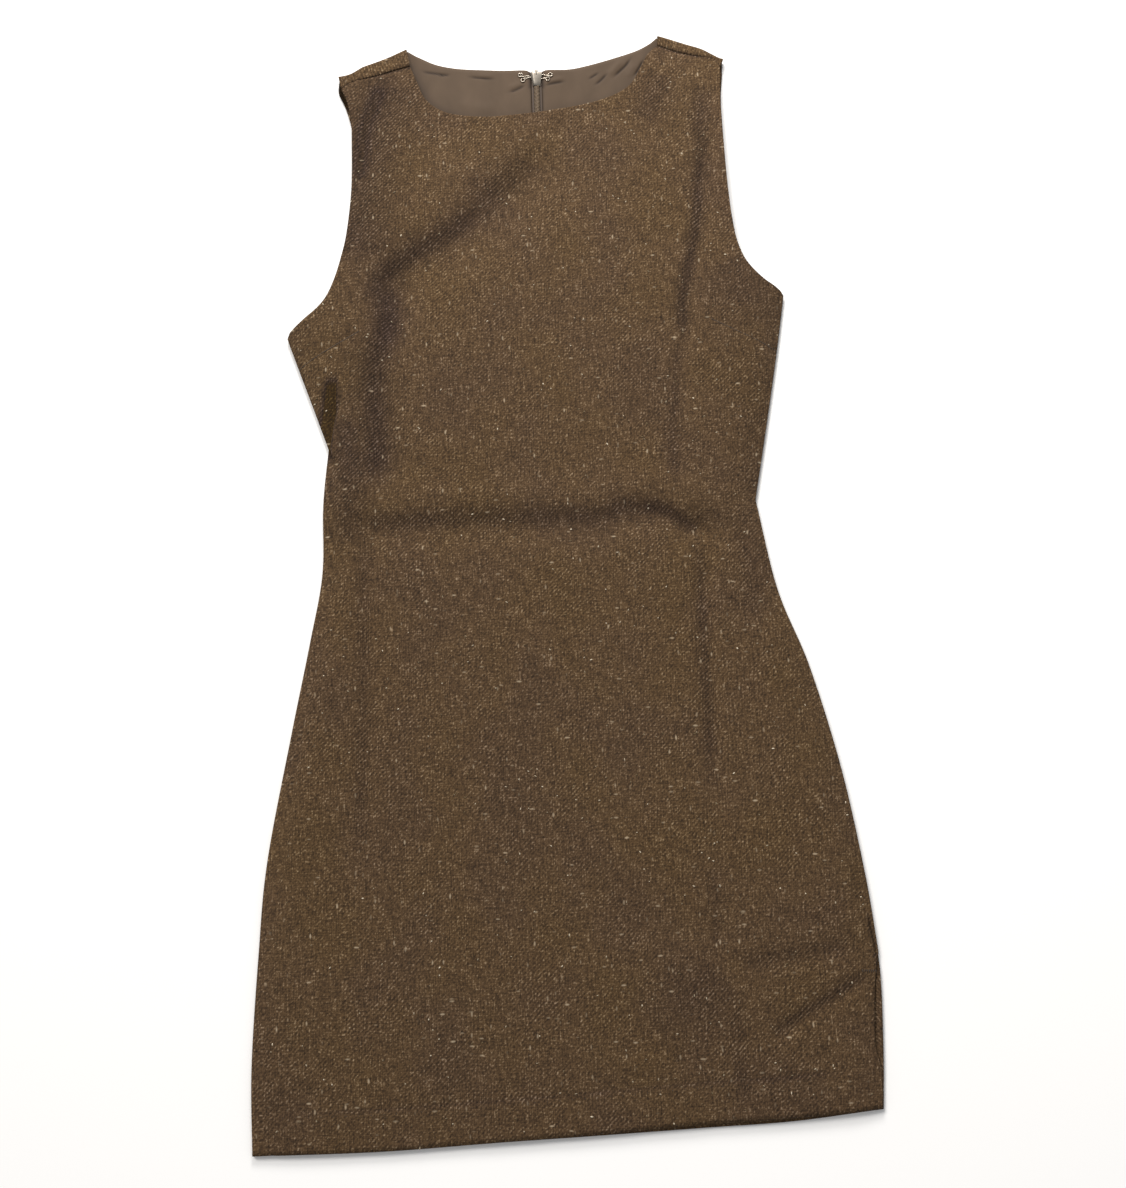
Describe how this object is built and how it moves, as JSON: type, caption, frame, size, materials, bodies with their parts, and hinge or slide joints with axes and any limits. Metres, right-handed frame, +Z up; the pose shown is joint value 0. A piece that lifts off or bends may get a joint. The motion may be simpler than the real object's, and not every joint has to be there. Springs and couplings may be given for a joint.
{
  "type": "shift dress",
  "caption": "Sleeveless mini shift dress laid flat on its back: round neck, darted front, back zip with hook and eye, side slit.",
  "frame": {"origin": "middle of the dress's outline, on the surface that it lies on", "axes": "+Y from hem to neck, +X to the wearer's left, +Z up from the surface through the back and then the front"},
  "size_m": [0.4644, 0.8934, 0.0107],
  "materials": {
    "shell": "brown twill with cream slubs, matt",
    "lining": "taupe woven lining, slight sheen",
    "zip_tape": "taupe knitted tape and nylon coil",
    "zip_metal": "satin nickel plate",
    "wire": "dull nickel plate"
  },
  "bodies": {
    "garment": {"front": "shell", "back_left": "shell", "back_right": "shell", "lining_left": "lining", "lining_right": "lining", "zip_left": "zip_tape", "zip_right": "zip_tape", "zip_slider": "zip_metal", "hook": "wire", "eye": "wire"},
    "pull": {"zip_pull": "zip_metal"}
  },
  "joints": [
    {"name": "pull_swing", "type": "hinge", "parent": "garment", "child": "pull", "pos_m": [0, 0.4206, 0.0015], "axis": [1, 0, 0], "range_deg": [0, 170]}
  ]
}
